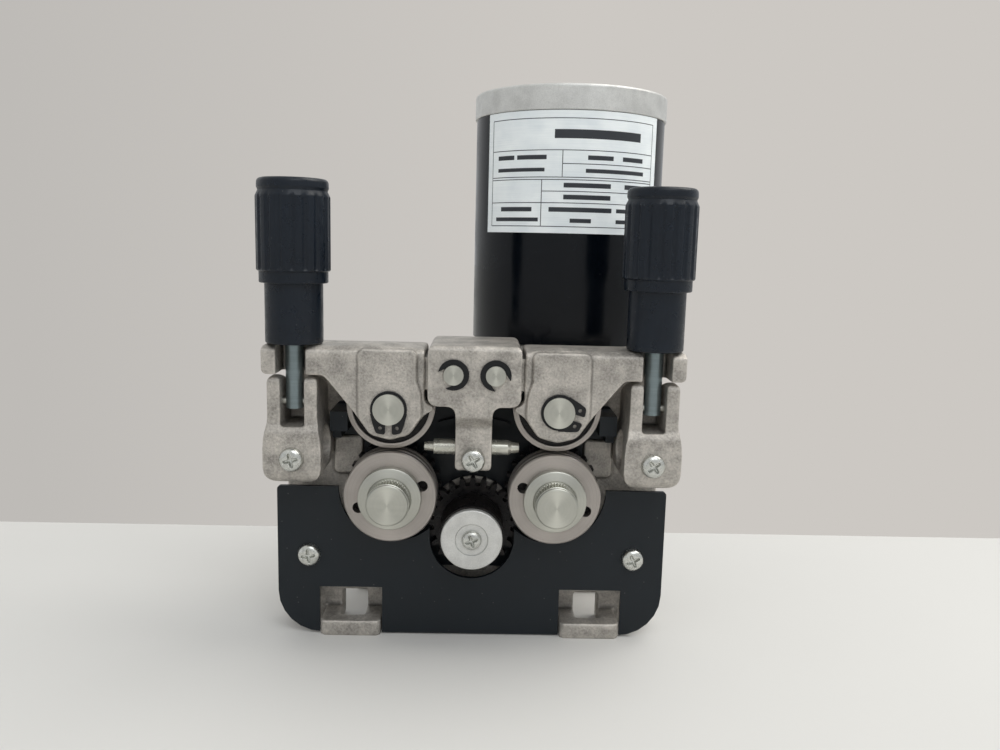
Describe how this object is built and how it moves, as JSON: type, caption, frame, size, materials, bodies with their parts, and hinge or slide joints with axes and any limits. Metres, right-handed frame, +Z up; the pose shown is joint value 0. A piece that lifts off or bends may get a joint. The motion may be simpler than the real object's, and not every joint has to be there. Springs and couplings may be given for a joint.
{
  "type": "wire feeder",
  "caption": "Welding wire feed mechanism: motor and worm drive turning two grooved feed rolls, with pressure rollers on tension levers.",
  "frame": {"origin": "centre of the footprint, on the bench plane under the feet", "axes": "+X along the wire from the inlet side to the outlet side, +Y away from the operator, +Z up along the motor"},
  "size_m": [0.1678, 0.1292, 0.229],
  "materials": {
    "cast_alloy": "sand-cast and tumbled, fine sparkle grain",
    "housing_alloy": "plain casting",
    "turned_alloy": "fine turned",
    "black_plate": "satin black coat",
    "motor_black": "gloss black enamel",
    "black_plastic": "satin black moulding",
    "zinc_steel": "bright zinc plate",
    "zinc_rod": "grey zinc plate",
    "nickel_steel": "satin nickel plate",
    "roll_steel": "ground tool steel",
    "bearing_steel": "ground steel",
    "dark_steel": "blackened and oiled",
    "black_steel": "blackened spring steel",
    "pale_brass": "nickel-washed brass",
    "bronze": "machined bronze",
    "plate_foil": "silver foil with thin dark rules",
    "ferrite": "sintered ferrite",
    "core_iron": "stacked laminations",
    "copper": "enamelled copper",
    "resin_board": "moulded resin",
    "carbon": "pressed carbon"
  },
  "bodies": {
    "frame": {"main_frame": "cast_alloy", "gearbox_housing": "housing_alloy", "gearbox_cover": "housing_alloy", "cover_screws": "zinc_steel", "front_guard": "black_plate", "gear_shroud": "black_plate", "bracket_left": "cast_alloy", "bracket_right": "cast_alloy", "pan_head_screws": "zinc_steel", "centre_block": "cast_alloy", "wire_guide": "pale_brass", "pivot_pins": "nickel_steel", "pivot_clips": "black_steel", "lever_pins": "nickel_steel", "shaft_bearings": "bearing_steel", "roll_axles": "bearing_steel", "motor_tube": "motor_black", "field_magnets": "ferrite", "motor_end_cap": "turned_alloy", "rating_plate": "plate_foil", "brush_holder": "resin_board", "carbon_brushes": "carbon"},
    "armature": {"motor_shaft": "bearing_steel", "armature_core": "core_iron", "armature_windings": "copper", "commutator": "copper", "worm": "bearing_steel"},
    "output": {"output_shaft": "bearing_steel", "worm_wheel": "bronze", "shaft_key": "bearing_steel", "drive_gear": "dark_steel", "hub_washer": "turned_alloy", "hub_screw": "zinc_steel"},
    "roll_left": {"roll_carrier_left": "dark_steel", "drive_roll_left": "roll_steel", "thumb_screw_left": "nickel_steel"},
    "arm_left": {"pressure_arm_left": "cast_alloy", "roller_axle_left": "nickel_steel", "axle_clip_left": "black_steel"},
    "roller_left": {"pressure_roller_left": "roll_steel", "roller_bearing_left": "dark_steel"},
    "lever_left": {"lever_rod_left": "zinc_rod", "tension_spring_left": "bearing_steel"},
    "sleeve_left": {"tension_sleeve_left": "black_plastic"},
    "washer_left": {"thrust_washer_left": "bearing_steel"},
    "knob_left": {"tension_knob_left": "black_plastic"},
    "roll_right": {"roll_carrier_right": "dark_steel", "drive_roll_right": "roll_steel", "thumb_screw_right": "nickel_steel"},
    "arm_right": {"pressure_arm_right": "cast_alloy", "roller_axle_right": "nickel_steel", "axle_clip_right": "black_steel"},
    "roller_right": {"pressure_roller_right": "roll_steel", "roller_bearing_right": "dark_steel"},
    "lever_right": {"lever_rod_right": "zinc_rod", "tension_spring_right": "bearing_steel"},
    "sleeve_right": {"tension_sleeve_right": "black_plastic"},
    "washer_right": {"thrust_washer_right": "bearing_steel"},
    "knob_right": {"tension_knob_right": "black_plastic"}
  },
  "joints": [
    {"name": "armature_spin", "type": "hinge", "parent": "frame", "child": "armature", "pos_m": [0.04075, 0.0214, 0.15], "axis": [0, 0, 1], "continuous": true},
    {"name": "output_spin", "type": "hinge", "parent": "frame", "child": "output", "pos_m": [0, -0.0526, 0.0481], "axis": [0, 1, 0], "continuous": true},
    {"name": "roll_left_spin", "type": "hinge", "parent": "frame", "child": "roll_left", "pos_m": [-0.03265, -0.0526, 0.06334], "axis": [0, 1, 0], "continuous": true},
    {"name": "arm_left_lift", "type": "hinge", "parent": "frame", "child": "arm_left", "pos_m": [-0.008, -0.0526, 0.11435], "axis": [0, 1, 0], "range_deg": [0, 3.5]},
    {"name": "roller_left_spin", "type": "hinge", "parent": "arm_left", "child": "roller_left", "pos_m": [-0.03265, -0.0526, 0.10014], "axis": [0, 1, 0], "continuous": true},
    {"name": "lever_left_swing", "type": "hinge", "parent": "frame", "child": "lever_left", "pos_m": [-0.07, -0.0506, 0.101], "axis": [1, 0, 0], "range_deg": [0, 85]},
    {"name": "sleeve_left_rise", "type": "slide", "parent": "lever_left", "child": "sleeve_left", "axis": [0, 0, 1], "range_m": [0, 0.0042], "deforming": ["tension_spring_left"]},
    {"name": "washer_left_travel", "type": "slide", "parent": "lever_left", "child": "washer_left", "axis": [0, 0, 1], "range_m": [-0.0026, 0.0026], "deforming": ["tension_spring_left"]},
    {"name": "knob_left_turn", "type": "hinge", "parent": "washer_left", "child": "knob_left", "pos_m": [-0.07, -0.0506, 0.17], "axis": [0, 0, 1], "range_deg": [-720, 720]},
    {"name": "roll_right_spin", "type": "hinge", "parent": "frame", "child": "roll_right", "pos_m": [0.03265, -0.0526, 0.06334], "axis": [0, 1, 0], "continuous": true},
    {"name": "arm_right_lift", "type": "hinge", "parent": "frame", "child": "arm_right", "pos_m": [0.008, -0.0526, 0.11435], "axis": [0, -1, 0], "range_deg": [0, 3.5]},
    {"name": "roller_right_spin", "type": "hinge", "parent": "arm_right", "child": "roller_right", "pos_m": [0.03265, -0.0526, 0.10014], "axis": [0, 1, 0], "continuous": true},
    {"name": "lever_right_swing", "type": "hinge", "parent": "frame", "child": "lever_right", "pos_m": [0.07, -0.0506, 0.101], "axis": [1, 0, 0], "range_deg": [0, 85]},
    {"name": "sleeve_right_rise", "type": "slide", "parent": "lever_right", "child": "sleeve_right", "axis": [0, 0, 1], "range_m": [0, 0.0042], "deforming": ["tension_spring_right"]},
    {"name": "washer_right_travel", "type": "slide", "parent": "lever_right", "child": "washer_right", "axis": [0, 0, 1], "range_m": [-0.0026, 0.0026], "deforming": ["tension_spring_right"]},
    {"name": "knob_right_turn", "type": "hinge", "parent": "washer_right", "child": "knob_right", "pos_m": [0.07, -0.0506, 0.17], "axis": [0, 0, 1], "range_deg": [-720, 720]}
  ],
  "couplings": [
    {"joint": "output_spin", "follows": "armature_spin", "ratio": 0.058824},
    {"joint": "roll_left_spin", "follows": "armature_spin", "ratio": -0.058824},
    {"joint": "roller_left_spin", "follows": "armature_spin", "ratio": 0.062904},
    {"joint": "sleeve_left_rise", "follows": "arm_left_lift", "m_per_rad": 0.0655},
    {"joint": "washer_left_travel", "follows": "knob_left_turn", "m_per_rad": 0.00019894},
    {"joint": "roll_right_spin", "follows": "armature_spin", "ratio": -0.058824},
    {"joint": "roller_right_spin", "follows": "armature_spin", "ratio": 0.062904},
    {"joint": "sleeve_right_rise", "follows": "arm_right_lift", "m_per_rad": 0.0655},
    {"joint": "washer_right_travel", "follows": "knob_right_turn", "m_per_rad": 0.00019894}
  ]
}
